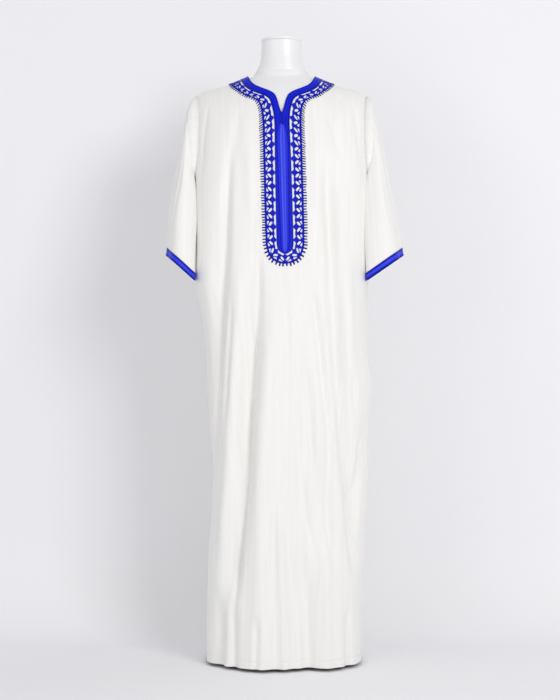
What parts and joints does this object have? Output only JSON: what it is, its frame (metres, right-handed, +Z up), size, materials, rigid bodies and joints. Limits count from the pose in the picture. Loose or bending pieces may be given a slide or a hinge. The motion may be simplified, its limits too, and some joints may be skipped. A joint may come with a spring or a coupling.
{
  "type": "thobe robe on limbless dress form",
  "caption": "Loose ankle-length robe with short wide sleeves, a slit neck with an openwork bib border and satin cuffs, on a plain dress form with a pole and a round base.",
  "frame": {"origin": "the middle of the base plate's underside, on the floor", "axes": "+Z up, the robe's front faces -Y, +X on the viewer's right"},
  "size_m": [0.5932, 0.3514, 1.5504],
  "materials": {
    "cloth": "soft satin weave, off white",
    "braid": "satin thread, royal blue",
    "light_braid": "satin braid, lighter blue",
    "form": "smooth white",
    "steel": "brushed"
  },
  "bodies": {
    "root": {"robe_front": "cloth", "robe_back": "cloth", "sleeve_left": "cloth", "sleeve_right": "cloth", "cuff_left": "braid", "cuff_right": "braid", "neckband": "braid", "neck_border": "braid", "placket_braid": "light_braid", "form_torso": "form", "form_neck_cap": "form", "stand_pole": "steel", "stand_base": "steel"}
  },
  "joints": []
}
